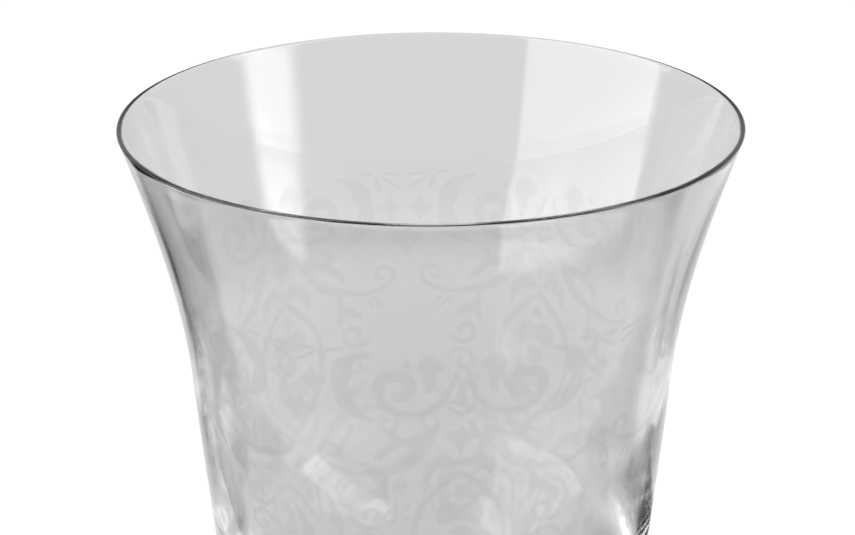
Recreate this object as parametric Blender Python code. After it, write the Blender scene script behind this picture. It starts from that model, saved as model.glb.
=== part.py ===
"""A stemmed goblet of clear glass, made of the three pieces that a glass shop welds together hot:
a thin blown bowl with a flared lip, a drawn stem and a pressed foot.

Metres, +Z up. The origin is the centre of the ring that the foot stands on, and +Z is the axis
that every piece is turned about. Outlines are lists of (radius, height) points.
"""

import math

import bmesh
import bpy
from mathutils import Vector

MM = 0.001

# Heights of the whole glass and of its pieces
GOBLET_HEIGHT = 180 * MM
BOWL_HEIGHT = 88 * MM
FOOT_HEIGHT = 9 * MM

# Bowl, outside: a flared lip, a waist where the flare ends, and a shoulder where the bottom rounds in
RIM_DIAMETER = 88 * MM
WAIST_DIAMETER = 69.1 * MM
WAIST_DEPTH = 38 * MM
SHOULDER_DIAMETER = 63.1 * MM
SHOULDER_DEPTH = 66 * MM
FLARE_LEAN = math.radians(19.4)
WAIST_LEAN = math.radians(5.1)
SHOULDER_LEAN = math.radians(6.4)
UNDERSIDE_RISE = math.radians(24)

# Bowl, inside: the wall is thin down to where the inside rounds in, and thickens to the middle of the floor
RIM_WALL = 0.7 * MM
WAIST_WALL = 1.3 * MM
ROUNDING_DIAMETER = 61.4 * MM
ROUNDING_DEPTH = 58 * MM
ROUNDING_LEAN = math.radians(6.2)
FLOOR_THICKNESS = 6.5 * MM
FLOOR_FULLNESS = 1.2

# Stem: welded to the bowl at its top and to the foot at its bottom, thinnest between the two
UPPER_WELD_DIAMETER = 13 * MM
LOWER_WELD_DIAMETER = 15 * MM
STEM_NECK_DIAMETER = 8.8 * MM
STEM_NECK_DROP = 26 * MM
STEM_ANKLE_DIAMETER = 8.0 * MM
STEM_ANKLE_RISE = 24 * MM
SWEEP_FULLNESS = 0.72

# Foot: a disc that swells to the weld in the middle, on a flat ring round a shallow hollow
FOOT_DIAMETER = 76 * MM
FOOT_EDGE_THICKNESS = 2.2 * MM
FOOT_TOP_SLOPE = math.radians(2.5)
FOOT_WELD_SLOPE = math.radians(40)
FOOT_RING_WIDTH = 5 * MM
FOOT_HOLLOW_DEPTH = 2 * MM

# How finely curves are cut into flats
TURN_STEPS = 64
SHORT_CURVE_STEPS = 5
LONG_CURVE_STEPS = 8
LIP_STEPS = 4

GLASS_COLOUR = (0.93, 0.94, 0.94, 1.0)
GLASS_ROUGHNESS = 0.02
GLASS_IOR = 1.52


def direction(angle_from_vertical_down):
    """A step down the outside of a turned wall: 0 is straight down, and positive leans in."""
    return Vector((-math.sin(angle_from_vertical_down), -math.cos(angle_from_vertical_down)))


def curve(start, start_way, end, end_way, steps, start_pull=1.0, end_pull=1.0):
    """Points along one smooth curve that leaves start along start_way and reaches end along end_way.
    A pull of 1 is a plain curve, and a larger one holds its end's direction for longer."""
    start, end = Vector(start), Vector(end)
    third = (end - start).length / 3
    leave = start + start_way * third * start_pull
    arrive = end - end_way * third * end_pull
    points = []
    for step in range(steps + 1):
        t = step / steps
        s = 1 - t
        points.append(s**3 * start + 3 * s * s * t * leave + 3 * s * t * t * arrive + t**3 * end)
    return points


def sweep(start, start_way, end, end_way, steps):
    """A curve that turns one way only, drawn towards the corner where its two end directions meet."""
    turn = start_way.x * end_way.y - start_way.y * end_way.x
    gap = end - start
    to_corner = (gap.x * end_way.y - gap.y * end_way.x) / turn
    corner = start + start_way * to_corner
    third = gap.length / 3
    start_pull = SWEEP_FULLNESS * to_corner / third
    end_pull = SWEEP_FULLNESS * (end - corner).length / third
    return curve(start, start_way, end, end_way, steps, start_pull, end_pull)


def joined(*stretches):
    """One outline from stretches that each start where the one before ends."""
    outline = list(stretches[0])
    for stretch in stretches[1:]:
        outline += stretch[1:]
    return outline


def wall_side(rim, waist_radius, end, end_lean):
    """One side of the bowl's wall, from the lip past the waist down to where the bottom rounds in."""
    waist = Vector((waist_radius, GOBLET_HEIGHT - WAIST_DEPTH))
    flare = curve(rim, direction(FLARE_LEAN), waist, direction(WAIST_LEAN), LONG_CURVE_STEPS)
    body = curve(waist, direction(WAIST_LEAN), end, direction(end_lean), SHORT_CURVE_STEPS)
    return joined(flare, body)


def lip_outline():
    """The round top of the lip, from its inner side over the top to its outer side."""
    radius = RIM_WALL / 2
    centre = Vector((RIM_DIAMETER / 2 - radius, GOBLET_HEIGHT - radius))
    over_top = [math.pi * (1 - step / LIP_STEPS) for step in range(1, LIP_STEPS + 1)]
    angles = [math.pi - FLARE_LEAN] + over_top + [-FLARE_LEAN]
    return [centre + radius * Vector((math.cos(angle), math.sin(angle))) for angle in angles]


def bowl_outline():
    """From the middle of the floor, up the inside, over the lip and down the outside to the weld."""
    weld_height = GOBLET_HEIGHT - BOWL_HEIGHT
    lip = lip_outline()
    across = Vector((-1, 0))

    rounding = Vector((ROUNDING_DIAMETER / 2, GOBLET_HEIGHT - ROUNDING_DEPTH))
    floor_middle = Vector((0, weld_height + FLOOR_THICKNESS))
    floor = curve(rounding, direction(ROUNDING_LEAN), floor_middle, across, LONG_CURVE_STEPS,
                  FLOOR_FULLNESS, FLOOR_FULLNESS)
    inside = joined(wall_side(lip[0], WAIST_DIAMETER / 2 - WAIST_WALL, rounding, ROUNDING_LEAN), floor)

    shoulder = Vector((SHOULDER_DIAMETER / 2, GOBLET_HEIGHT - SHOULDER_DEPTH))
    weld_edge = Vector((UPPER_WELD_DIAMETER / 2, weld_height))
    under = curve(shoulder, direction(SHOULDER_LEAN), weld_edge, direction(math.pi / 2 - UNDERSIDE_RISE),
                  LONG_CURVE_STEPS)
    outside = joined(wall_side(lip[-1], WAIST_DIAMETER / 2, shoulder, SHOULDER_LEAN), under)

    return joined(inside[::-1], lip, outside) + [Vector((0, weld_height))]


def stem_outline():
    """From the middle of the upper weld, down the shaft to the middle of the lower weld."""
    top = GOBLET_HEIGHT - BOWL_HEIGHT
    upper_edge = Vector((UPPER_WELD_DIAMETER / 2, top))
    neck = Vector((STEM_NECK_DIAMETER / 2, top - STEM_NECK_DROP))
    ankle = Vector((STEM_ANKLE_DIAMETER / 2, FOOT_HEIGHT + STEM_ANKLE_RISE))
    lower_edge = Vector((LOWER_WELD_DIAMETER / 2, FOOT_HEIGHT))
    shaft_lean = direction(math.atan2(neck.x - ankle.x, neck.y - ankle.y))

    sweep_in = sweep(upper_edge, direction(math.pi / 2 - UNDERSIDE_RISE), neck, shaft_lean, LONG_CURVE_STEPS)
    sweep_out = sweep(ankle, shaft_lean, lower_edge, direction(FOOT_WELD_SLOPE - math.pi / 2), LONG_CURVE_STEPS)
    return [Vector((0, top))] + sweep_in + sweep_out + [Vector((0, FOOT_HEIGHT))]


def foot_outline():
    """From the middle of the weld, out over the top, round the edge and in across the underside."""
    weld_edge = Vector((LOWER_WELD_DIAMETER / 2, FOOT_HEIGHT))
    edge_radius = FOOT_EDGE_THICKNESS / 2
    edge_centre = Vector((FOOT_DIAMETER / 2 - edge_radius, edge_radius))
    edge_top = edge_centre + Vector((0, edge_radius))
    top = sweep(weld_edge, direction(FOOT_WELD_SLOPE - math.pi / 2), edge_top,
                direction(FOOT_TOP_SLOPE - math.pi / 2), LONG_CURVE_STEPS)
    edge = []
    for step in range(LIP_STEPS + 1):
        angle = math.pi / 2 - math.pi * step / LIP_STEPS
        edge.append(edge_centre + edge_radius * Vector((math.cos(angle), math.sin(angle))))
    ring_inner = Vector((edge_centre.x - FOOT_RING_WIDTH, 0))
    across = Vector((-1, 0))
    hollow = curve(ring_inner, across, Vector((0, FOOT_HOLLOW_DEPTH)), across, SHORT_CURVE_STEPS)
    return [Vector((0, FOOT_HEIGHT))] + joined(top, edge, [edge[-1], ring_inner], hollow)


def glass_material(name):
    """Clear glass, one material for each piece."""
    material = bpy.data.materials.new(name)
    material.use_nodes = True
    shader = material.node_tree.nodes["Principled BSDF"]
    shader.inputs["Base Color"].default_value = GLASS_COLOUR
    shader.inputs["Metallic"].default_value = 0.0
    shader.inputs["Roughness"].default_value = GLASS_ROUGHNESS
    shader.inputs["IOR"].default_value = GLASS_IOR
    shader.inputs["Transmission Weight"].default_value = 1.0
    return material


def turned(name, outline):
    """A solid of revolution about +Z. Both ends of the outline lie on the axis, so it closes."""
    shape = bmesh.new()
    points = [shape.verts.new((p.x, 0, p.y)) for p in outline]
    edges = [shape.edges.new(pair) for pair in zip(points, points[1:])]
    bmesh.ops.spin(shape, geom=points + edges, cent=(0, 0, 0), axis=(0, 0, 1), angle=2 * math.pi,
                   steps=TURN_STEPS, use_merge=True)
    bmesh.ops.remove_doubles(shape, verts=shape.verts, dist=0.001 * MM)
    bmesh.ops.recalc_face_normals(shape, faces=shape.faces)
    mesh = bpy.data.meshes.new(name)
    shape.to_mesh(mesh)
    shape.free()
    mesh.shade_smooth()
    mesh.set_sharp_from_angle(angle=math.radians(40))
    mesh.materials.append(glass_material(name + "_glass"))
    piece = bpy.data.objects.new(name, mesh)
    bpy.context.scene.collection.objects.link(piece)
    return piece


def build():
    for old in list(bpy.data.objects):
        bpy.data.objects.remove(old, do_unlink=True)
    axis = bpy.data.objects.new("goblet_axis", None)
    bpy.context.scene.collection.objects.link(axis)
    for name, outline in (("bowl", bowl_outline()), ("stem", stem_outline()), ("foot", foot_outline())):
        turned(name, outline).parent = axis


build()
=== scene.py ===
# %% [markdown]
# # A stemmed goblet with an etched bowl
# The goblet is clear glass: a blown bowl with a flared lip, a drawn stem and a pressed foot, welded hot.
# The construction is already packed as three solids. This lesson loads them as a fixed frame and gives
# every piece its finished surface: fine round glass, a melted lip and a matt ornament etched into the bowl.

# %% Load the frame
import math

import bmesh
import bpy
import numpy as np
from mathutils import Matrix, Vector
from mathutils.geometry import delaunay_2d_cdt


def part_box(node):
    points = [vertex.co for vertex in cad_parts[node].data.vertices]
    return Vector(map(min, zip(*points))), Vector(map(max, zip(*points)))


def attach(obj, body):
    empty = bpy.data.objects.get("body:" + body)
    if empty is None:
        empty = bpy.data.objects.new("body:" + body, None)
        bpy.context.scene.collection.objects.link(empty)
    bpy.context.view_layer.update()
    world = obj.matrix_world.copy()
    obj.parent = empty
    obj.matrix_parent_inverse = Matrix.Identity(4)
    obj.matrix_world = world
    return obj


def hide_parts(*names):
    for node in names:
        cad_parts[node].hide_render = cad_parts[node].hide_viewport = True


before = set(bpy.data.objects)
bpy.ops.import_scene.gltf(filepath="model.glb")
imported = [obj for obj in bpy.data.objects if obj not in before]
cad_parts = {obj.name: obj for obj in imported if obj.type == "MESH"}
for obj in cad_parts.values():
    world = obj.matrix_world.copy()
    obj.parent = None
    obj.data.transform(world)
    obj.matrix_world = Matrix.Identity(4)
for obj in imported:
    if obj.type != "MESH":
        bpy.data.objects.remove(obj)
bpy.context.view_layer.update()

MM = 0.001

# %% [markdown]
# ## Sizes
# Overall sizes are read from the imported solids, so the finished surface can't drift away from them.
# What a box can't tell, such as how far down the flare of the bowl ends, is written here as a real size.

# %% Read the sizes from the frame
bowl_low, bowl_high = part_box("bowl")
stem_low, stem_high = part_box("stem")
foot_low, foot_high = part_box("foot")

RIM_RADIUS = bowl_high.x
LIP_HEIGHT = bowl_high.z
UPPER_WELD = bowl_low.z
LOWER_WELD = foot_high.z
LOWER_WELD_RADIUS = stem_high.x
FOOT_RADIUS = foot_high.x

WAIST_RADIUS, WAIST_DEPTH = 34.55 * MM, 38 * MM
SHOULDER_RADIUS, SHOULDER_DEPTH = 31.55 * MM, 66 * MM
ROUNDING_RADIUS, ROUNDING_DEPTH = 30.7 * MM, 58 * MM
FLARE_LEAN, WAIST_LEAN = math.radians(19.4), math.radians(5.1)
SHOULDER_LEAN, ROUNDING_LEAN, UNDERSIDE_RISE = math.radians(6.4), math.radians(6.2), math.radians(24)
LIP_WALL, WAIST_WALL, FLOOR_THICKNESS = 0.7 * MM, 1.3 * MM, 6.5 * MM
UPPER_WELD_RADIUS = 6.5 * MM
print("rim diameter in mm:", round(2 * RIM_RADIUS / MM, 1),
      "bowl height:", round((LIP_HEIGHT - UPPER_WELD) / MM, 1))

# %% [markdown]
# ## The lip
# Every piece of the goblet is turned about one axis, so each is drawn as half an outline of (radius, height)
# points and then spun. The bowl starts at its lip, which the maker melts round in a flame. A bevel on a square
# edge would come close, but an arc of points is truly round, and it meets both sides of the wall at their lean.

# %% Draw the lip
LIP_STEPS = 16


def lip():
    """The round lip, from its inner side over the top to its outer side."""
    radius = LIP_WALL / 2
    centre = Vector((RIM_RADIUS - radius, LIP_HEIGHT - radius))
    angles = np.linspace(math.pi - FLARE_LEAN, -FLARE_LEAN, LIP_STEPS + 1)
    return [centre + radius * Vector((math.cos(a), math.sin(a))) for a in angles]


lip_points = lip()
print("points round the lip:", len(lip_points))

# %% [markdown]
# ## The inside of the bowl
# The inside of a blown bowl runs from the flare of the lip past a waist, and rounds in to its floor. It could
# be a long list of points. Instead each stretch is a smooth curve, given by where it starts and ends and by the
# direction of the glass at both ends. That needs far fewer numbers, and it stays smooth at any resolution.

# %% Draw the inside of the bowl
FLARE_STEPS, BODY_STEPS, BASE_STEPS = 40, 24, 40
FLOOR_FULLNESS = 1.2
INWARD = Vector((-1, 0))


def down(lean):
    """A step down the outside of a wall: 0 is straight down, and a positive lean heads for the axis."""
    return Vector((-math.sin(lean), -math.cos(lean)))


def curve(start, start_way, end, end_way, steps, start_pull=1.0, end_pull=1.0):
    """Points along a smooth curve. A larger pull holds the direction at that end for longer."""
    third = (end - start).length / 3
    leave = start + start_way * third * start_pull
    arrive = end - end_way * third * end_pull
    points = []
    for step in range(steps + 1):
        t = step / steps
        s = 1 - t
        points.append(s**3 * start + 3 * s * s * t * leave + 3 * s * t * t * arrive + t**3 * end)
    return points


def joined(*stretches):
    """One outline from stretches that each start where the one before ends."""
    outline = list(stretches[0])
    for stretch in stretches[1:]:
        outline += stretch[1:]
    return outline


def wall_side(lip_end, waist_radius, end, end_lean):
    """One side of the wall, from the lip past the waist down to where the bottom rounds in."""
    waist = Vector((waist_radius, LIP_HEIGHT - WAIST_DEPTH))
    flare = curve(lip_end, down(FLARE_LEAN), waist, down(WAIST_LEAN), FLARE_STEPS)
    body = curve(waist, down(WAIST_LEAN), end, down(end_lean), BODY_STEPS)
    return joined(flare, body)


def inside_of_bowl(lip_end):
    """From the lip down the inside to the middle of the floor."""
    rounding = Vector((ROUNDING_RADIUS, LIP_HEIGHT - ROUNDING_DEPTH))
    side = wall_side(lip_end, WAIST_RADIUS - WAIST_WALL, rounding, ROUNDING_LEAN)
    middle = Vector((0, UPPER_WELD + FLOOR_THICKNESS))
    floor = curve(rounding, down(ROUNDING_LEAN), middle, INWARD, BASE_STEPS,
                  FLOOR_FULLNESS, FLOOR_FULLNESS)
    return joined(side, floor)


inside = inside_of_bowl(lip_points[0])
print("points down the inside:", len(inside))

# %% [markdown]
# ## The outside of the bowl
# The wall is thinnest at the lip and thickest in the middle of the floor, because the hot glass collects there.
# A Solidify modifier would give it one even thickness, so the outside is an outline of its own: one wall from
# the inside down to the waist, and further away below. It is kept, because the ornament is laid on it later.

# %% Draw the outside of the bowl
def outside_of_bowl(lip_end):
    """From the lip down the outside to the edge of the weld."""
    shoulder = Vector((SHOULDER_RADIUS, LIP_HEIGHT - SHOULDER_DEPTH))
    side = wall_side(lip_end, WAIST_RADIUS, shoulder, SHOULDER_LEAN)
    weld_edge = Vector((UPPER_WELD_RADIUS, UPPER_WELD))
    under = curve(shoulder, down(SHOULDER_LEAN), weld_edge, down(math.pi / 2 - UNDERSIDE_RISE), BASE_STEPS)
    return joined(side, under)


outside = outside_of_bowl(lip_points[-1])
print("points down the outside:", len(outside))

# %% [markdown]
# ## The ornament, drawn flat
# Round the bowl runs a damask of scrolls and leaves, etched matt. It is five motifs wide, each motif is the
# same left and right of its axis, and its lower half repeats the upper half upside down. So only a quarter of
# one motif is drawn, in mm: across from the motif's axis, and depth below the lip. A scroll is a brush stroke,
# given as (across, depth, width) points with a smooth curve through them. The first is the large volute.

# %% Draw the volute as a brush stroke
DRAWING_STEP = 0.35


def smooth(points, closed=False):
    """Points along a smooth curve through the drawn ones, about one drawing step apart."""
    drawn = np.array(points, float)
    if closed:
        drawn = np.concatenate([drawn[-1:], drawn, drawn[:2]])
    else:
        drawn = np.concatenate([2 * drawn[:1] - drawn[1:2], drawn, 2 * drawn[-1:] - drawn[-2:-1]])
    line = []
    for before, start, end, after in zip(drawn, drawn[1:], drawn[2:], drawn[3:]):
        steps = max(2, round(math.dist(start[:2], end[:2]) / DRAWING_STEP))
        for step in range(steps):
            t = step / steps
            line.append(start + (end - before) * t / 2 + (before - 2.5 * start + 2 * end - after / 2) * t * t
                        + (1.5 * (start - end) + (after - before) / 2) * t**3)
    if not closed:
        line.append(drawn[-2])
    return np.array(line)


def filled(outline):
    """The outline in the direction that counts as filled, which is anticlockwise."""
    x, y = outline.T
    doubled_area = np.sum(x * np.roll(y, -1) - np.roll(x, -1) * y)
    return outline if doubled_area > 0 else outline[::-1]


def stroke(*points):
    """The outline of a brush stroke whose width changes on the way."""
    line = smooth(points)
    way = np.gradient(line[:, :2], axis=0)
    way /= np.linalg.norm(way, axis=1, keepdims=True)
    side = np.stack([-way[:, 1], way[:, 0]], axis=1) * line[:, 2:] / 2
    return filled(np.concatenate([line[:, :2] + side, (line[:, :2] - side)[::-1]]))


volute = stroke((0.6, 22.9, 0.2), (0.95, 24.2, 0.6), (1.5, 25.8, 0.85), (2.4, 27.6, 1.0), (3.6, 28.9, 1.05),
                (5.0, 29.6, 1.1), (6.6, 29.85, 1.15), (8.2, 29.7, 1.1), (9.6, 29, 1.15), (10.6, 27.8, 1.3),
                (10.9, 26.2, 1.55), (10.5, 24.8, 1.6), (9.4, 24.1, 1.7), (8.0, 24, 1.75), (6.9, 24.6, 1.7),
                (6.6, 25.7, 1.6), (6.95, 26.7, 1.8), (7.7, 27.2, 1.7), (8.5, 27.0, 1.5), (8.9, 26.6, 0.9))
print("points round the volute:", len(volute))

# %% [markdown]
# A leaf is a closed outline, with the same smooth curve through its points. The rest of the upper part is the
# teardrop in the shade of the volute, the crescent that shields both from the next motif, and the small crosses
# and frills where two motifs meet.

# %% Draw the upper part of the quarter
MOTIFS = 5
ETCH_RADIUS = 35.1
HALF_MOTIF = math.pi * ETCH_RADIUS / MOTIFS


def leaf(*points):
    """A closed outline."""
    return filled(smooth(points, closed=True))


teardrop = leaf((4.0, 20.5), (5.2, 21.2), (5.6, 22.6), (5.1, 23.8), (4.75, 25.1), (4.7, 26.3), (4.25, 26.7),
                (3.6, 25.7), (3.35, 24.3), (3.2, 23.2), (2.2, 22.7), (2.5, 21.8), (3.2, 20.9))
bud = stroke((6.9, 21.5, 0.5), (7.0, 22, 0.8), (7.1, 22.7, 0.3))
axis_drop = leaf((0, 25.3), (0.85, 27.3), (0, 28.5), (-0.85, 27.3))
chevron = stroke((1.9, 28.5, 0.4), (1.0, 29.3, 0.65), (0, 30, 0.65), (-1.0, 30.7, 0.65))
crescent = leaf((11.4, 20.6), (12.8, 20.8), (14.5, 21.2), (15.7, 21.8), (16.7, 23), (17.1, 25), (17.1, 27),
                (16.6, 28.9), (15.2, 30.3), (13.6, 31.1), (12.2, 31.3), (11.4, 31.1), (12.7, 30.3),
                (13.7, 29.1), (14.2, 27.7), (15.0, 26), (14.3, 24.7), (14.0, 23.1), (13.4, 22.1), (12.4, 21.5))
small_cross = leaf((19.9, 23.6), (20.3, 25), (21.5, 25.7), (20.4, 26.6), (19.9, 27.9), (19.0, 26.7),
                   (17.6, 25.7), (19.2, 24.9))
frill = [stroke((15.2, 20.3, 0.3), (16.3, 20.5, 0.5), (17.4, 20.7, 0.5)),
         stroke((18.0, 20.9, 0.5), (17.9, 21.9, 0.9), (18.3, 23.2, 0.5)),
         stroke((18.6, 21, 0.3), (19.9, 22, 0.6), (21.5, 22.9, 0.5)),
         stroke((18.6, 20.5, 0.3), (20.0, 20.8, 0.5), (21.5, 20.9, 0.5))]
rosette = leaf((HALF_MOTIF, 28.9), (21.3, 29.7), (20.5, 29.9), (19.7, 30.1), (19.8, 31.1), (20.8, 31.6),
               (21.3, 32.4), (21.6, 33.4), (HALF_MOTIF, 34.2), (23.0, 32.4), (24.0, 30.6), (23.0, 29.7))
upper_part = [volute, teardrop, bud, axis_drop, chevron, crescent, small_cross, *frill, rosette]
print("outlines in the upper part:", len(upper_part))

# %% [markdown]
# The lower part holds the wing leaf that springs from the axis, a trefoil and a pair of small wings on the
# axis, and the pointed arch of the medallion with a palmette in it. Shapes may run past the edge of the
# quarter: they are cut there, and the mirrored quarter goes on.

# %% Draw the lower part of the quarter
wing = [stroke((3.0, 31.4, 0.4), (4.2, 32.8, 1.2), (5.8, 33.9, 1.7), (7.6, 34.2, 1.5), (9.0, 33.7, 1.2),
               (9.3, 32.7, 0.9), (8.7, 31.8, 0.3)),
        stroke((8.0, 34.2, 1.1), (9.5, 35.0, 1.3), (10.7, 36.0, 1.3), (11.2, 36.9, 1.2), (11.3, 37.4, 0.5)),
        stroke((3.2, 31.9, 0.6), (4.5, 33.9, 1.5), (5.6, 35.6, 1.7), (7.0, 37.3, 1.7), (8.9, 38.4, 1.5),
               (11.2, 39.0, 1.2), (13.4, 39.5, 0.9), (15.2, 39.7, 0.5))]
trefoil = leaf((0, 31.6), (0.65, 32.3), (1.5, 32.6), (2.0, 33.3), (1.3, 33.9), (0.7, 34.5), (0.25, 35.7),
               (0, 36.5), (-0.25, 35.7), (-0.7, 34.5), (-1.3, 33.9), (-2.0, 33.3), (-1.5, 32.6),
               (-0.65, 32.3))
small_wing = leaf((-0.4, 37.8), (1.3, 36.5), (2.1, 35.7), (3.1, 36), (3.9, 36.9), (4.8, 37.2), (5.0, 38.7),
                  (4.95, 40), (4.6, 40.6), (4.1, 39.7), (3.4, 38.6), (2.4, 38), (1.2, 38))
arch = stroke((-0.8, 37.9, 1.0), (0, 38.7, 1.0), (1.0, 39.5, 1.0), (2.4, 40.7, 1.0), (3.8, 42.1, 1.0),
              (5.0, 43.5, 1.0), (5.8, 45.1, 0.95), (6.3, 46.9, 0.9), (6.5, 48.5, 0.9), (6.5, 50, 0.9))
palmette = [leaf((0, 40.6), (0.8, 41.6), (0.6, 42.7), (0, 43.1), (-0.6, 42.7), (-0.8, 41.6)),
            leaf((0, 43.9), (1.4, 43.4), (2.9, 43.9), (3.4, 45.3), (3.0, 46.9), (1.6, 46.8), (0.6, 46.1),
                 (0, 46.4), (-0.6, 46.1), (-2.0, 44.9)),
            leaf((0, 47), (0.9, 47.2), (1.5, 48.5), (0.9, 49.8), (-0.9, 49.8), (-1.5, 48.5), (-0.9, 47.2))]
side_curl = stroke((14.6, 39.6, 0.5), (16.6, 39.3, 0.8), (18.6, 38.5, 0.9), (19.8, 37.1, 0.9),
                   (19.2, 35.7, 0.9), (17.7, 35.5, 0.85), (16.9, 36.5, 0.8), (17.5, 37.4, 0.7),
                   (18.2, 37, 0.4))
hanging = [stroke((10.3, 39.5, 0.8), (10.6, 41.5, 1.2), (10.4, 43.1, 1.1), (9.9, 44.5, 0.3)),
           leaf((10.9, 41.7), (12.4, 41.7), (13.6, 42.5), (14.3, 43.5), (12.8, 43.4), (11.4, 42.8))]
lower_curl = stroke((15.4, 46.6, 0.4), (14.2, 47.7, 0.8), (12.5, 47.9, 0.9), (11.2, 47.1, 0.9),
                    (10.9, 46.0, 0.9), (11.7, 45.1, 0.9), (12.9, 45.1, 0.85), (13.6, 45.9, 0.7),
                    (13.0, 46.5, 0.4))
thorns = [stroke((14.9, 40.7, 0.3), (15.9, 41.4, 0.55), (16.6, 42.4, 0.3)),
          stroke((15.8, 40.2, 0.3), (17.0, 41.1, 0.55), (17.7, 42.3, 0.3))]
lower_part = [*wing, trefoil, small_wing, arch, *palmette, side_curl, *hanging, lower_curl, *thorns]
print("outlines in the lower part:", len(lower_part))

# %% [markdown]
# ## Cutting the ornament into the wall
# An etched edge is sharp, so it should be a real edge of the mesh and not a blur between vertices. A mask on
# the vertices would need a mesh far too fine. Here the quarter is triangulated so that every outline becomes
# edges, by a function that mathutils has built in. A plain grid of points is added, so that the flat pieces
# between the outlines still bend round the bowl.

# %% Cut a quarter of the motif into triangles
ETCH_TOP, ETCH_MIDDLE = 18.5, 48.5
COLUMNS, ROWS = 20, 28
CLEAR_OF_OUTLINE = 0.3
SMALLEST_GAP = 0.002
ALL_TRIANGLES = 0


def grid_points(outlines):
    """The grid of one quarter, without the inner points that lie close to an outline."""
    edge_points = np.concatenate(outlines)
    kept = []
    for row in range(ROWS + 1):
        for column in range(COLUMNS + 1):
            depth = ETCH_TOP + (ETCH_MIDDLE - ETCH_TOP) * row / ROWS
            point = np.array((HALF_MOTIF * column / COLUMNS, depth))
            on_border = row in (0, ROWS) or column in (0, COLUMNS)
            if on_border or np.linalg.norm(edge_points - point, axis=1).min() > CLEAR_OF_OUTLINE:
                kept.append(Vector(point))
    return kept


def cut_quarter(outlines):
    """Points and triangles of the quarter, with True for each triangle that is etched."""
    points = [Vector(corner) for corner in ((0, ETCH_TOP), (HALF_MOTIF, ETCH_TOP),
                                            (HALF_MOTIF, ETCH_MIDDLE), (0, ETCH_MIDDLE))]
    border = [(0, 1), (1, 2), (2, 3), (3, 0)]
    etched_faces = []
    for outline in outlines:
        etched_faces.append(list(range(len(points), len(points) + len(outline))))
        points += [Vector(p) for p in outline]
    points += grid_points(outlines)
    cut_points, _, triangles, _, _, inside_of = delaunay_2d_cdt(points, border, etched_faces, ALL_TRIANGLES,
                                                                SMALLEST_GAP)
    kept = []
    for triangle, outlines_around in zip(triangles, inside_of):
        across, depth = sum((cut_points[i] for i in triangle), Vector((0, 0))) / 3
        if 0 < across < HALF_MOTIF and ETCH_TOP < depth < ETCH_MIDDLE:
            kept.append((triangle, bool(outlines_around)))
    return cut_points, kept


quarter_points, quarter_triangles = cut_quarter(upper_part + lower_part)
print("triangles in a quarter:", len(quarter_triangles),
      "of them etched:", sum(etched for _, etched in quarter_triangles))

# %% [markdown]
# The quarter is mirrored left to right and top to bottom. Then the flat motif is bent onto the outside of the
# bowl: across becomes an angle round the axis, and depth becomes a height and the radius that the wall has
# there. Spin with use_duplicate sets the other four motifs round the bowl.

# %% Mirror the quarter, wrap it and repeat it
CLEAR_SLOT, ETCHED_SLOT, WELD_SLOT = 0, 1, 2
outside_depths = np.array([(LIP_HEIGHT - p.y) / MM for p in outside])
outside_radii = np.array([p.x / MM for p in outside])


def whole(shape):
    """Everything in a bmesh, as the operators want it."""
    return shape.verts[:] + shape.edges[:] + shape.faces[:]


def etched_belt():
    """A bmesh of the bowl's outer wall from the top of the ornament to its bottom."""
    belt = bmesh.new()
    corners = {}
    for triangle, etched in quarter_triangles:
        for i in triangle:
            if i not in corners:
                corners[i] = belt.verts.new((*quarter_points[i], 0))
        face = belt.faces.new([corners[i] for i in triangle])
        face.material_index = ETCHED_SLOT if etched else CLEAR_SLOT
    bmesh.ops.mirror(belt, geom=whole(belt), matrix=Matrix(), axis="X", merge_dist=SMALLEST_GAP)
    bmesh.ops.mirror(belt, geom=whole(belt), matrix=Matrix.Translation((0, -ETCH_MIDDLE, 0)), axis="Y",
                     merge_dist=SMALLEST_GAP)
    for vertex in belt.verts:
        angle, depth = vertex.co.x / ETCH_RADIUS, vertex.co.y
        radius = float(np.interp(depth, outside_depths, outside_radii)) * MM
        vertex.co = (radius * math.cos(angle), radius * math.sin(angle), LIP_HEIGHT - depth * MM)
    bmesh.ops.spin(belt, geom=whole(belt), cent=(0, 0, 0), axis=(0, 0, 1),
                   angle=2 * math.pi * (1 - 1 / MOTIFS), steps=MOTIFS - 1, use_duplicate=True)
    return belt


belt = etched_belt()
print("faces in the etched belt:", len(belt.faces))

# %% [markdown]
# ## The rest of the bowl
# The plain glass above and below the belt is spun from its outline, with as many steps as the belt has columns,
# so that the edges meet point for point and can be merged. A boolean could join them too, but it tends to leave
# slivers along such a seam. Where an outline starts or ends on the axis, the spin closes.

# %% Spin the rest of the bowl onto the belt
MOTIF_AZIMUTH = math.radians(-83.65)
ETCH_BOTTOM = 2 * ETCH_MIDDLE - ETCH_TOP
CLEAR_OF_BELT = 0.2
BOWL_STEPS = 2 * COLUMNS * MOTIFS


def spin_outline(shape, outline, steps):
    """Spins a half outline round the axis into the bmesh."""
    points = [shape.verts.new((p.x, 0, p.y)) for p in outline]
    edges = [shape.edges.new(pair) for pair in zip(points, points[1:])]
    bmesh.ops.spin(shape, geom=points + edges, cent=(0, 0, 0), axis=(0, 0, 1), angle=2 * math.pi,
                   steps=steps, use_merge=True)


def depth_of(point):
    """How far below the lip a point of an outline lies, in mm."""
    return (LIP_HEIGHT - point.y) / MM


def at_depth(depth):
    """The point of the bowl's outside at a depth below the lip."""
    return Vector((float(np.interp(depth, outside_depths, outside_radii)) * MM, LIP_HEIGHT - depth * MM))


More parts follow.
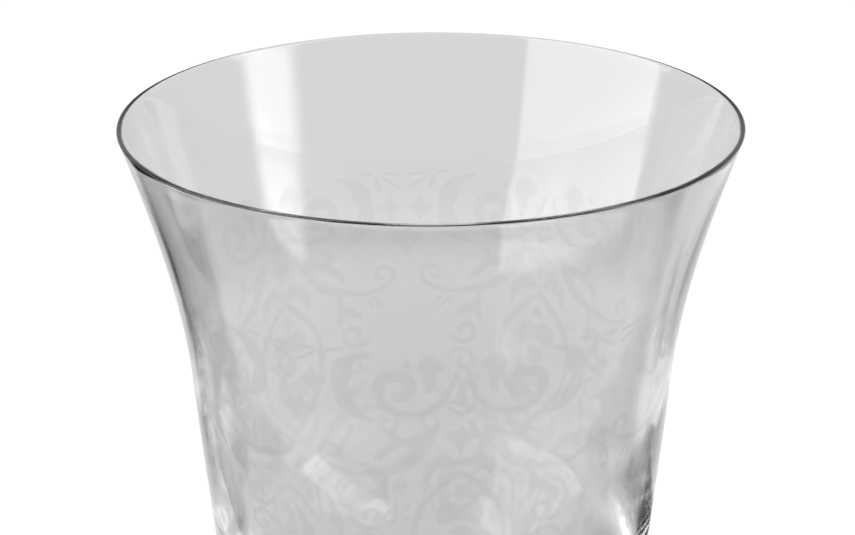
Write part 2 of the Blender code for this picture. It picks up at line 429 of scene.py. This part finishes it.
above = [p for p in outside if depth_of(p) < ETCH_TOP - CLEAR_OF_BELT] + [at_depth(ETCH_TOP)]
below = [at_depth(ETCH_BOTTOM)] + [p for p in outside if depth_of(p) > ETCH_BOTTOM + CLEAR_OF_BELT]
spin_outline(belt, joined(inside[::-1], lip_points, above), BOWL_STEPS)
spin_outline(belt, below + [Vector((0, UPPER_WELD))], BOWL_STEPS)
bmesh.ops.rotate(belt, verts=belt.verts, cent=(0, 0, 0), matrix=Matrix.Rotation(MOTIF_AZIMUTH, 3, "Z"))
print("faces in the whole bowl:", len(belt.faces))

# %% [markdown]
# The triangles of the belt are uneven, so normals averaged from them would ripple in every reflection. The true
# normal of a turned wall is known from its outline, so the belt gets that one instead.

# %% Make the bowl a finished piece
MERGE_DISTANCE = 0.003 * MM
SHARP_ANGLE = math.radians(50)
ON_OUTSIDE, ON_BELT_EDGE = 0.05, 0.01


def finished_piece(name, shape):
    """Merges and closes the bmesh, and makes it an object with smooth shading."""
    bmesh.ops.remove_doubles(shape, verts=shape.verts, dist=MERGE_DISTANCE)
    bmesh.ops.recalc_face_normals(shape, faces=shape.faces)
    open_edges = sum(len(edge.link_faces) != 2 for edge in shape.edges)
    mesh = bpy.data.meshes.new(name)
    shape.to_mesh(mesh)
    shape.free()
    mesh.shade_smooth()
    mesh.set_sharp_from_angle(angle=SHARP_ANGLE)
    piece = bpy.data.objects.new(name, mesh)
    bpy.context.scene.collection.objects.link(piece)
    triangles = sum(len(face.vertices) - 2 for face in mesh.polygons)
    print(name, "has", triangles, "triangles and", open_edges, "open edges")
    return piece


def turned_normals(mesh):
    """The normal of the turned outside for each vertex of the belt. Elsewhere zero, which means no change."""
    places = np.array([vertex.co for vertex in mesh.vertices])
    depths = (LIP_HEIGHT - places[:, 2]) / MM
    radii = np.hypot(places[:, 0], places[:, 1]) / MM
    on_belt = np.abs(radii - np.interp(depths, outside_depths, outside_radii)) < ON_OUTSIDE
    on_belt &= (depths > ETCH_TOP - ON_BELT_EDGE) & (depths < ETCH_BOTTOM + ON_BELT_EDGE)
    slopes = np.interp(depths, outside_depths, np.gradient(outside_radii, outside_depths))
    normals = np.stack([places[:, 0] / MM / radii.clip(1), places[:, 1] / MM / radii.clip(1), slopes], axis=1)
    normals /= np.linalg.norm(normals, axis=1, keepdims=True)
    normals[~on_belt] = 0
    return normals


bowl = finished_piece("goblet_bowl", belt)
bowl.data.normals_split_custom_set_from_vertices(turned_normals(bowl.data).tolist())

# %% [markdown]
# ## The stem
# The stem is drawn out of the hot base of the bowl, so it leaves the bowl and enters the foot in long sweeps. A
# scaled cylinder would show its steps there. So the stem is spun as well, from two curves that turn one way
# only, each drawn towards the corner where its two directions meet.

# %% Spin the stem
SWEEP_FULLNESS = 0.72
NECK = Vector((4.4 * MM, UPPER_WELD - 26 * MM))
ANKLE = Vector((4.0 * MM, LOWER_WELD + 24 * MM))
FOOT_WELD_SLOPE = math.radians(40)
STEM_STEPS, SWEEP_STEPS = 96, 32


def sweep(start, start_way, end, end_way, steps):
    """A curve that turns one way only, drawn towards the corner where its two directions meet."""
    gap = end - start
    turn = start_way.x * end_way.y - start_way.y * end_way.x
    to_corner = (gap.x * end_way.y - gap.y * end_way.x) / turn
    corner = start + start_way * to_corner
    third = gap.length / 3
    return curve(start, start_way, end, end_way, steps,
                 SWEEP_FULLNESS * to_corner / third, SWEEP_FULLNESS * (end - corner).length / third)


def stem_outline():
    """From the middle of the upper weld down to the middle of the lower weld."""
    shaft = down(math.atan2(NECK.x - ANKLE.x, NECK.y - ANKLE.y))
    upper_edge = Vector((UPPER_WELD_RADIUS, UPPER_WELD))
    lower_edge = Vector((LOWER_WELD_RADIUS, LOWER_WELD))
    sweep_in = sweep(upper_edge, down(math.pi / 2 - UNDERSIDE_RISE), NECK, shaft, SWEEP_STEPS)
    sweep_out = sweep(ANKLE, shaft, lower_edge, down(FOOT_WELD_SLOPE - math.pi / 2), SWEEP_STEPS)
    return [Vector((0, UPPER_WELD))] + sweep_in + sweep_out + [Vector((0, LOWER_WELD))]


stem_shape = bmesh.new()
spin_outline(stem_shape, stem_outline(), STEM_STEPS)
stem = finished_piece("goblet_stem", stem_shape)

# %% [markdown]
# ## The foot
# The foot is pressed from a separate gather of glass. It stands on a narrow flat ring round a shallow hollow,
# so that it doesn't rock on an uneven table. A flat disc with a bevel would miss the hollow and the swell to
# the weld, so the foot is spun from an outline like the other pieces.

# %% Spin the foot
FOOT_EDGE = 2.2 * MM
FOOT_TOP_SLOPE = math.radians(2.5)
RING_WIDTH, HOLLOW_DEPTH = 5 * MM, 2 * MM
FOOT_STEPS = 192


def foot_outline():
    """From the middle of the weld out over the top, round the edge and in across the underside."""
    edge_radius = FOOT_EDGE / 2
    edge_centre = Vector((FOOT_RADIUS - edge_radius, edge_radius))
    weld_edge = Vector((LOWER_WELD_RADIUS, LOWER_WELD))
    top = sweep(weld_edge, down(FOOT_WELD_SLOPE - math.pi / 2), edge_centre + Vector((0, edge_radius)),
                down(FOOT_TOP_SLOPE - math.pi / 2), SWEEP_STEPS)
    edge = [edge_centre + edge_radius * Vector((math.cos(a), math.sin(a)))
            for a in np.linspace(math.pi / 2, -math.pi / 2, LIP_STEPS + 1)]
    ring_inner = Vector((edge_centre.x - RING_WIDTH, 0))
    hollow = curve(ring_inner, INWARD, Vector((0, HOLLOW_DEPTH)), INWARD, SWEEP_STEPS)
    return [Vector((0, LOWER_WELD))] + joined(top, edge, [edge[-1], ring_inner], hollow)


foot_shape = bmesh.new()
spin_outline(foot_shape, foot_outline(), FOOT_STEPS)
foot = finished_piece("goblet_foot", foot_shape)

# %% [markdown]
# ## Clear glass
# Glass is one Principled shader with its transmission turned up: the shader bends the light where it enters
# and where it leaves, so the walls need both of their sides and no other trick. Perfectly clear glass would
# vanish in front of a white floor, so it carries a light grey tone. No blown glass is quite even either. Very
# low waves, drawn out along the axis by the maker's pull, make its reflections swim a little. They are far too
# low to be modelled, so a bump gives them.

# %% Make the clear glass of the stem and the foot
GLASS_IOR = 1.52
STEM_TONE = 0.56
WAVE_SIZE, WAVE_HEIGHT = 14 * MM, 0.03 * MM
WAVE_STRETCH = 0.3


def glass(name):
    """A new transmissive material, with its node tree, its shader and the Object coordinates."""
    material = bpy.data.materials.new(name)
    material.use_nodes = True
    tree = material.node_tree
    shader = tree.nodes["Principled BSDF"]
    shader.inputs["IOR"].default_value = GLASS_IOR
    shader.inputs["Roughness"].default_value = 0.0
    shader.inputs["Transmission Weight"].default_value = 1.0
    place = tree.nodes.new("ShaderNodeTexCoord").outputs["Object"]
    return material, tree, shader, place


def noise(tree, place, size, stretch=1.0, detail=0.0):
    """Soft random spots of about the given size, drawn out along Z by a stretch under 1."""
    mapping = tree.nodes.new("ShaderNodeMapping")
    mapping.inputs["Scale"].default_value = (1, 1, stretch)
    spots = tree.nodes.new("ShaderNodeTexNoise")
    spots.inputs["Scale"].default_value = 1 / size
    spots.inputs["Detail"].default_value = detail
    tree.links.new(place, mapping.inputs["Vector"])
    tree.links.new(mapping.outputs["Vector"], spots.inputs["Vector"])
    return spots.outputs["Fac"]


def bump(tree, shader, height_map, height):
    """Raises the shader's surface by up to the given height."""
    node = tree.nodes.new("ShaderNodeBump")
    node.inputs["Distance"].default_value = height
    tree.links.new(height_map, node.inputs["Height"])
    tree.links.new(node.outputs["Normal"], shader.inputs["Normal"])


def clear_glass():
    """The plain glass of the stem and the foot."""
    material, tree, shader, place = glass("clear_glass")
    shader.inputs["Base Color"].default_value = (STEM_TONE, STEM_TONE, STEM_TONE, 1)
    bump(tree, shader, noise(tree, place, WAVE_SIZE, WAVE_STRETCH), WAVE_HEIGHT)
    return material


stem_glass = clear_glass()
print("clear glass:", stem_glass.name, "IOR", GLASS_IOR)

# %% [markdown]
# ## The glass of the bowl
# Through most of the bowl the eye looks through two walls, and near the lip through one. With one even tone
# the bowl would turn darker below its front lip than the real one looks. Real glass is even, and more lamps
# might make up for it. Here painted shade in the tone follows the height instead, because that is simpler to
# set:
# stronger at the lip and towards the floor of the bowl, and lightest round the waist. A Color Ramp on the
# height in Object coordinates paints it. The price is a faint pale belt round the waist, which shows from other
# sides.

# %% Make the bowl's glass
# Painted shade: the grey tone is darker at the lip and towards the floor of the bowl, and lightest round the
# waist.
TINT_AND_PAINTED_SHADE_STOPS = ((0, 0.675), (22, 0.66), (28, 0.69), (36, 0.805),
              (48, 0.79), (56, 0.735), (66, 0.62), (80, 0.61))
ANYWHERE = 0.5


def tint_and_painted_shade_by_depth(tree, shader, place, share):
    """Greys the shader by depth below the lip: a grey tint with painted shade, darker at the lip and towards
    the floor. The share darkens every stop alike.
    """
    parts = tree.nodes.new("ShaderNodeSeparateXYZ")
    depth = tree.nodes.new("ShaderNodeMapRange")
    deepest = TINT_AND_PAINTED_SHADE_STOPS[-1][0] * MM
    depth.inputs["From Min"].default_value = LIP_HEIGHT
    depth.inputs["From Max"].default_value = LIP_HEIGHT - deepest
    ramp = tree.nodes.new("ShaderNodeValToRGB")
    ramp.color_ramp.interpolation = "EASE"
    elements = ramp.color_ramp.elements
    while len(elements) < len(TINT_AND_PAINTED_SHADE_STOPS):
        elements.new(ANYWHERE)
    for element, (stop, tone) in zip(elements, TINT_AND_PAINTED_SHADE_STOPS):
        element.position = stop * MM / deepest
        element.color = (tone * share, tone * share, tone * share, 1)
    tree.links.new(place, parts.inputs["Vector"])
    tree.links.new(parts.outputs["Z"], depth.inputs["Value"])
    tree.links.new(depth.outputs["Result"], ramp.inputs["Fac"])
    tree.links.new(ramp.outputs["Color"], shader.inputs["Base Color"])


def bowl_glass():
    """The polished glass of the bowl."""
    material, tree, shader, place = glass("bowl_glass")
    tint_and_painted_shade_by_depth(tree, shader, place, 1.0)
    bump(tree, shader, noise(tree, place, WAVE_SIZE, WAVE_STRETCH), WAVE_HEIGHT)
    return material


polished = bowl_glass()
print("tone of the bowl by depth in mm:", TINT_AND_PAINTED_SHADE_STOPS)

# %% [markdown]
# ## The etched ornament
# Acid or fine sand leaves a matt skin of tiny pits on the glass. Light still comes through, but scattered, so
# the ornament is only a shade darker than the glass round it. A rougher shader does the scattering. A fine
# grain breaks it up: it varies the roughness and raises a low bump, like the pits.

# %% Make the etched glass
ETCHED_SHARE = 0.905
ETCHED_ROUGHNESS = (0.08, 0.16)
GRAIN_SIZE, GRAIN_HEIGHT, GRAIN_DETAIL = 0.3 * MM, 0.002 * MM, 2.0


def etched_glass():
    """The matt glass of the ornament."""
    material, tree, shader, place = glass("etched_glass")
    # The ornament carries the same painted shade by depth as the polished glass.
    tint_and_painted_shade_by_depth(tree, shader, place, ETCHED_SHARE)
    grain = noise(tree, place, GRAIN_SIZE, detail=GRAIN_DETAIL)
    roughness = tree.nodes.new("ShaderNodeMapRange")
    roughness.inputs["To Min"].default_value, roughness.inputs["To Max"].default_value = ETCHED_ROUGHNESS
    tree.links.new(grain, roughness.inputs["Value"])
    tree.links.new(roughness.outputs["Result"], shader.inputs["Roughness"])
    bump(tree, shader, grain, GRAIN_HEIGHT)
    return material


matt = etched_glass()
print("etched roughness:", ETCHED_ROUGHNESS)

# %% [markdown]
# ## Welds
# Bowl, stem and foot touch where they are welded, and in the real glass there is no surface left inside a
# weld. The meshes stay closed, and the faces in the weld get a Transparent shader, so light passes as through
# one piece.

# %% Put the glass on the pieces
PLAIN_WELD_SLOT = 1


def weld_material():
    """Lets light straight through."""
    material = bpy.data.materials.new("weld_face")
    material.use_nodes = True
    nodes = material.node_tree.nodes
    nodes.remove(nodes["Principled BSDF"])
    clear = nodes.new("ShaderNodeBsdfTransparent")
    material.node_tree.links.new(clear.outputs["BSDF"], nodes["Material Output"].inputs["Surface"])
    return material


def clear_welds(piece, slot, *heights):
    """Gives the slot to the flat faces at the weld heights, and counts them."""
    count = 0
    for face in piece.data.polygons:
        levels = [piece.data.vertices[v].co.z for v in face.vertices]
        if any(max(abs(level - height) for level in levels) < MERGE_DISTANCE for height in heights):
            face.material_index = slot
            count += 1
    return count


weld = weld_material()
for material in (polished, matt, weld):
    bowl.data.materials.append(material)
for piece in (stem, foot):
    piece.data.materials.append(stem_glass)
    piece.data.materials.append(weld)
print("weld faces:", clear_welds(bowl, WELD_SLOT, UPPER_WELD),
      clear_welds(stem, PLAIN_WELD_SLOT, UPPER_WELD, LOWER_WELD),
      clear_welds(foot, PLAIN_WELD_SLOT, LOWER_WELD))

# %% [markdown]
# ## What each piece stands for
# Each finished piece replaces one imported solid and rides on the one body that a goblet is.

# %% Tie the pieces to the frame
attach(bowl, "root")
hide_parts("bowl")
for piece, node in ((stem, "stem"), (foot, "foot")):
    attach(piece, "root")
    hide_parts(node)
print("pieces:", bowl.name, stem.name, foot.name)

# %% [markdown]
# ## A white floor that keeps the shadow
# A catalogue floor is white right up to the edge of the picture. Lighting a floor that brightly would flood
# the glass, so the floor is lit a little and glows a lot: a grey diffuse part that takes the shadow, and a glow
# that only the camera and rays through or off the glass see. Added up, the unshadowed floor is white.

# %% Mix the floor's paint and glow
FLOOR_PAINT = 0.35
FLOOR_GLOW = 0.79


def calculate(tree, operation, *values):
    """A Math node on values that are either sockets or plain numbers."""
    node = tree.nodes.new("ShaderNodeMath")
    node.operation = operation
    for socket, value in zip(node.inputs, values):
        if isinstance(value, (int, float)):
            socket.default_value = value
        else:
            tree.links.new(value, socket)
    return node.outputs["Value"]


def floor_material():
    """Grey paint, with a glow for camera, glossy and transmission rays."""
    material = bpy.data.materials.new("floor_white")
    material.use_nodes = True
    tree = material.node_tree
    nodes, links = tree.nodes, tree.links
    paint = nodes["Principled BSDF"]
    paint.inputs["Base Color"].default_value = (FLOOR_PAINT, FLOOR_PAINT, FLOOR_PAINT, 1)
    paint.inputs["Roughness"].default_value = 1.0
    paint.inputs["Specular IOR Level"].default_value = 0.0
    path = nodes.new("ShaderNodeLightPath")
    seen = path.outputs["Is Camera Ray"]
    for ray in ("Is Glossy Ray", "Is Transmission Ray"):
        seen = calculate(tree, "MAXIMUM", seen, path.outputs[ray])
    glow = nodes.new("ShaderNodeEmission")
    links.new(calculate(tree, "MULTIPLY", seen, FLOOR_GLOW), glow.inputs["Strength"])
    both = nodes.new("ShaderNodeAddShader")
    links.new(paint.outputs["BSDF"], both.inputs[0])
    links.new(glow.outputs["Emission"], both.inputs[1])
    links.new(both.outputs["Shader"], nodes["Material Output"].inputs["Surface"])
    return material


floor_white = floor_material()
print("floor material:", floor_white.name)

# %% [markdown]
# The floor itself is one square, far wider than the picture, so that its border never shows. The Add menu's
# plane would do as well. It is made by a small function here, because the dark cards need a square later.

# %% Lay the floor
FLOOR_HALF_SIZE = 6.0
FLOOR_GAP = 0.1 * MM


def sheet(name, half_size, material):
    """The mesh of a flat square."""
    shape = bmesh.new()
    bmesh.ops.create_grid(shape, x_segments=1, y_segments=1, size=half_size)
    mesh = bpy.data.meshes.new(name)
    shape.to_mesh(mesh)
    shape.free()
    mesh.materials.append(material)
    return mesh


floor = bpy.data.objects.new("floor", sheet("floor", FLOOR_HALF_SIZE, floor_white))
floor.location.z = -FLOOR_GAP
bpy.context.scene.collection.objects.link(floor)
print("floor in m:", 2 * FLOOR_HALF_SIZE, "by", 2 * FLOOR_HALF_SIZE)

# %% [markdown]
# ## The light of the room
# The white walls of a studio throw back some light from every side. Many weak lamps could stand for them, but a
# dim even world does it with one number, and with no shapes for the glass to mirror.

# %% Light the room
WORLD_LEVEL = 0.45

world = bpy.context.scene.world or bpy.data.worlds.new("studio")
bpy.context.scene.world = world
world.use_nodes = True
background = world.node_tree.nodes["Background"]
background.inputs["Color"].default_value = (1, 1, 1, 1)
background.inputs["Strength"].default_value = WORLD_LEVEL
print("world level:", WORLD_LEVEL)

# %% [markdown]
# ## Softboxes
# Glass has no colour of its own to light: what shows is what it mirrors. Two tall softboxes beside the camera
# mirror themselves in the far wall of the bowl, as two upright bright bands. An Area lamp is a softbox already,
# but an even one with hard edges. So its nodes read the place on the cloth, fade its sides and its slanting
# lower edge, draw the sides in further up, and brighten the low part, whose light reaches the far wall only
# through the near side of the bowl.

# %% Hang the softboxes
SOFTBOX_HEIGHT = 1.5
LOW_PART, LOW_PART_LEVEL = (0.17, 0.36), 1.9
LOWER_FADE = 0.05
MIDDLE = 0.5


def ranged(tree, value, start_end, levels=(0.0, 1.0)):
    """Turns a value smoothly from the first level at the start to the second at the end."""
    node = tree.nodes.new("ShaderNodeMapRange")
    node.interpolation_type = "SMOOTHSTEP"
    node.inputs["From Min"].default_value, node.inputs["From Max"].default_value = start_end
    node.inputs["To Min"].default_value, node.inputs["To Max"].default_value = levels
    tree.links.new(value, node.inputs["Value"])
    return node.outputs["Result"]


def from_border(tree, share):
    """How far a share of the way across lies from the nearer border, also as a share."""
    return calculate(tree, "PINGPONG", share, MIDDLE)


def cloth_level(tree, width, side_fade, low_edge, taper):
    """How bright the cloth is, by its place on the lamp. The lower edge runs between two heights."""
    cloth = tree.nodes.new("ShaderNodeSeparateXYZ")
    tree.links.new(tree.nodes.new("ShaderNodeNewGeometry").outputs["Parametric"], cloth.inputs["Vector"])
    across = cloth.outputs["X"]
    height = calculate(tree, "MULTIPLY", cloth.outputs["Y"], SOFTBOX_HEIGHT)
    to_side = calculate(tree, "MULTIPLY", from_border(tree, across), width)
    from_side = calculate(tree, "SUBTRACT", to_side, ranged(tree, height, LOW_PART, (0.0, taper)))
    edge = calculate(tree, "MULTIPLY_ADD", across, low_edge[1] - low_edge[0], low_edge[0])
    over_edge = calculate(tree, "SUBTRACT", height, edge)
    shown = calculate(tree, "MULTIPLY", ranged(tree, from_side, (0.0, side_fade)),
                      ranged(tree, over_edge, (0.0, LOWER_FADE)))
    return calculate(tree, "MULTIPLY", shown, ranged(tree, height, LOW_PART, (LOW_PART_LEVEL, 1.0)))


def bearing(azimuth):
    """The level direction at an azimuth: 0 is towards the camera and 90 is to the right in the picture."""
    return Vector((math.sin(math.radians(azimuth)), -math.cos(math.radians(azimuth)), 0))


def softbox(name, azimuth, distance, width, radiance, side_fade, low_edge, taper=0.0, lean=0.0):
    """An upright area lamp on the floor, facing the axis of the goblet. The lean turns it in its own plane."""
    lamp = bpy.data.lights.new(name, "AREA")
    lamp.shape = "RECTANGLE"
    lamp.size, lamp.size_y = width, SOFTBOX_HEIGHT
    lamp.energy = radiance * math.pi * width * SOFTBOX_HEIGHT
    lamp.use_nodes = True
    tree = lamp.node_tree
    level = cloth_level(tree, width, side_fade, low_edge, taper)
    tree.links.new(level, tree.nodes["Emission"].inputs["Strength"])
    holder = bpy.data.objects.new(name, lamp)
    bpy.context.scene.collection.objects.link(holder)
    way = bearing(azimuth)
    holder.matrix_world = (Matrix.Translation(distance * way + Vector((0, 0, SOFTBOX_HEIGHT / 2)))
                           @ (-way).to_track_quat("-Z", "Y").to_matrix().to_4x4()
                           @ Matrix.Rotation(math.radians(lean), 4, "Z"))


softbox("right_softbox", azimuth=61.5, distance=0.8, width=0.39, radiance=3.8, side_fade=0.12,
        low_edge=(0.042, 0.05), lean=18)
softbox("left_softbox", azimuth=-70, distance=0.65, width=0.96, radiance=2.35, side_fade=0.05,
        low_edge=(0.11, -0.02), taper=0.08)
print("softboxes:", [lamp.name for lamp in bpy.data.lights])

# %% [markdown]
# ## Dark cards
# On a white floor the edges of clear glass melt into the background. So a photographer sets dark cards round
# the glass, outside the picture, and the glass mirrors them as dark lines and dim bands along its edges. A card
# with a hard border would draw a hard line. So the black of the paper is blended into a Transparent shader
# towards its borders.

# %% Make the black paper
CARD_SOFT_SIDE, CARD_SOFT_END = 0.25, 0.12
CARD_GREY = 0.02


def card_material():
    """Black paper that turns clear towards its borders."""
    material = bpy.data.materials.new("card_black")
    material.use_nodes = True
    tree = material.node_tree
    paper = tree.nodes["Principled BSDF"]
    paper.inputs["Base Color"].default_value = (CARD_GREY, CARD_GREY, CARD_GREY, 1)
    place = tree.nodes.new("ShaderNodeSeparateXYZ")
    tree.links.new(tree.nodes.new("ShaderNodeTexCoord").outputs["Generated"], place.inputs["Vector"])
    from_side = ranged(tree, from_border(tree, place.outputs["X"]), (0.0, CARD_SOFT_SIDE))
    from_end = ranged(tree, from_border(tree, place.outputs["Y"]), (0.0, CARD_SOFT_END))
    blend = tree.nodes.new("ShaderNodeMixShader")
    tree.links.new(calculate(tree, "MULTIPLY", from_side, from_end), blend.inputs["Fac"])
    tree.links.new(tree.nodes.new("ShaderNodeBsdfTransparent").outputs["BSDF"], blend.inputs[1])
    tree.links.new(paper.outputs["BSDF"], blend.inputs[2])
    tree.links.new(blend.outputs["Shader"], tree.nodes["Material Output"].inputs["Surface"])
    return material


black_paper = card_material()
print("card material:", black_paper.name)

# %% [markdown]
# One card stands behind the left wall and a low one leans beside it. Three more lie on the floor: one behind
# the right wall, and one at each side. They could be modelled one by one, but all five share one square mesh,
# which each card scales to its own size. The camera and the floor don't see the cards at all. All but the first
# also show to light that comes through the glass.

# %% Set out the dark cards
UNIT_HALF = 0.5
LYING = 90
LEFT_WALL, RIGHT_WALL = Vector((-34 * MM, 0, 0)), Vector((33 * MM, 0, 0))
card_mesh = sheet("dark_card", UNIT_HALF, black_paper)


def dark_card(name, wall, azimuth, distance, height, size, tilt=0.0, roll=0.0, seen_through_glass=True):
    """A card that faces a wall of the bowl. The tilt lays it down, and the roll turns it in its plane."""
    card = bpy.data.objects.new(name, card_mesh)
    bpy.context.scene.collection.objects.link(card)
    way = bearing(azimuth)
    card.matrix_world = (Matrix.Translation(wall + distance * way + Vector((0, 0, height)))
                         @ way.to_track_quat("Z", "Y").to_matrix().to_4x4()
                         @ Matrix.Rotation(math.radians(tilt), 4, "X")
                         @ Matrix.Rotation(math.radians(roll), 4, "Z")
                         @ Matrix.Diagonal((*size, 1, 1)))
    card.visible_camera = card.visible_diffuse = card.visible_shadow = False
    card.visible_transmission = seen_through_glass


dark_card("left_card", LEFT_WALL, azimuth=-135, distance=0.17, height=0.091, size=(0.12, 0.101),
          seen_through_glass=False)
dark_card("low_left_card", LEFT_WALL, azimuth=-120, distance=0.17, height=0.028, size=(0.1, 0.026), roll=-26)
dark_card("right_floor_card", RIGHT_WALL, azimuth=153, distance=0.19, height=0.001, size=(0.16, 0.11),
          tilt=LYING)
for name, wall, azimuth in (("left_floor_card", LEFT_WALL, -92), ("right_side_card", RIGHT_WALL, 97)):
    dark_card(name, wall, azimuth, distance=0.275, height=0.002, size=(0.22, 0.18), tilt=LYING)
print("dark cards:", card_mesh.users)

# %% [markdown]
# ## Light paths
# A ray that crosses the bowl meets four surfaces of glass, and inside the lip and the thick bottom it is thrown
# back many times more. If the path is cut short, the glass turns black there, so more bounces are allowed.

# %% Allow more bounces
GLASS_BOUNCES = 32
paths = bpy.context.scene.cycles
paths.max_bounces = paths.glossy_bounces = paths.transmission_bounces = GLASS_BOUNCES
print("bounces:", paths.max_bounces)

# %% [markdown]
# ## The camera
# The picture is taken from a little above the lip, close enough that the far wall looks smaller than the near
# one. The camera aims so that the middle of the mouth lands on a chosen pixel, by a small pitch and yaw,
# because the picture shows the mouth high in the frame and cuts the stem off.

# %% Place the camera
PHOTO_WIDTH, PHOTO_HEIGHT = 855, 535
FOCAL_PIXELS = 2988.3
CAMERA_DISTANCE = 420 * MM
CAMERA_ELEVATION = math.radians(17.72)
CAMERA_ROLL = math.radians(-0.2)
RIM_PIXEL = (430.8, 118.8)
SENSOR_WIDTH = 36

camera_data = bpy.data.cameras.new("photo_camera")
camera_data.sensor_width = SENSOR_WIDTH
camera_data.lens = FOCAL_PIXELS / PHOTO_WIDTH * SENSOR_WIDTH
camera = bpy.data.objects.new("photo_camera", camera_data)
bpy.context.scene.collection.objects.link(camera)
to_rim = Vector((0, math.cos(CAMERA_ELEVATION), -math.sin(CAMERA_ELEVATION)))
pitch = math.atan2(PHOTO_HEIGHT / 2 - RIM_PIXEL[1], FOCAL_PIXELS)
yaw = math.atan2(RIM_PIXEL[0] - PHOTO_WIDTH / 2, FOCAL_PIXELS)
camera.matrix_world = (Matrix.Translation(Vector((0, 0, LIP_HEIGHT)) - CAMERA_DISTANCE * to_rim)
                       @ to_rim.to_track_quat("-Z", "Y").to_matrix().to_4x4()
                       @ Matrix.Rotation(CAMERA_ROLL, 4, "Z")
                       @ Matrix.Rotation(yaw, 4, "Y") @ Matrix.Rotation(-pitch, 4, "X"))
bpy.context.scene.camera = camera
bpy.context.scene.view_settings.view_transform = "Standard"
print("lens in mm:", round(camera_data.lens, 1))
